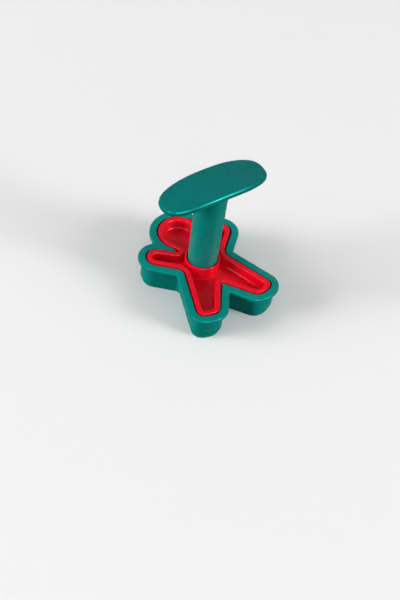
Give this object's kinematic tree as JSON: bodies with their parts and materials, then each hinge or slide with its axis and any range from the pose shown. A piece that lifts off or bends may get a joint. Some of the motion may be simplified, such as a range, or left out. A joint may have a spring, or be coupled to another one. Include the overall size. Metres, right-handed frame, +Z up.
{
  "type": "cookie press",
  "caption": "Figure-shaped cookie cutter ring with a dished press plate sliding inside it, worked by a T-shaped handle plugged into a collar on the plate.",
  "frame": {"origin": "on the table, at the middle of the tool's footprint; the stem axis stands 0.7 mm from it towards the figure's head", "axes": "+Z up from the cutting edge along the stem, +Y to the figure's head, +X along the palm plate"},
  "size_m": [0.0751, 0.0937, 0.0895],
  "materials": {
    "green_plastic": "satin moulded",
    "green_handle_plastic": "satin moulded",
    "red_plastic": "satin moulded",
    "steel_screw": "bright",
    "silicone_ring": "matt"
  },
  "bodies": {
    "cutter": {"cutter_ring": "green_plastic"},
    "press": {"press_plate": "red_plastic"},
    "handle": {"handle_stem": "green_handle_plastic", "palm_plate": "green_handle_plastic", "palm_screw": "steel_screw", "grip_ring": "silicone_ring"}
  },
  "joints": [
    {"name": "press_slide", "type": "slide", "parent": "cutter", "child": "press", "axis": [0, 0, 1], "range_m": [-0.0081, 0.015]},
    {"name": "handle_pull", "type": "slide", "parent": "press", "child": "handle", "axis": [0, 0, 1], "range_m": [0, 0.014]}
  ]
}
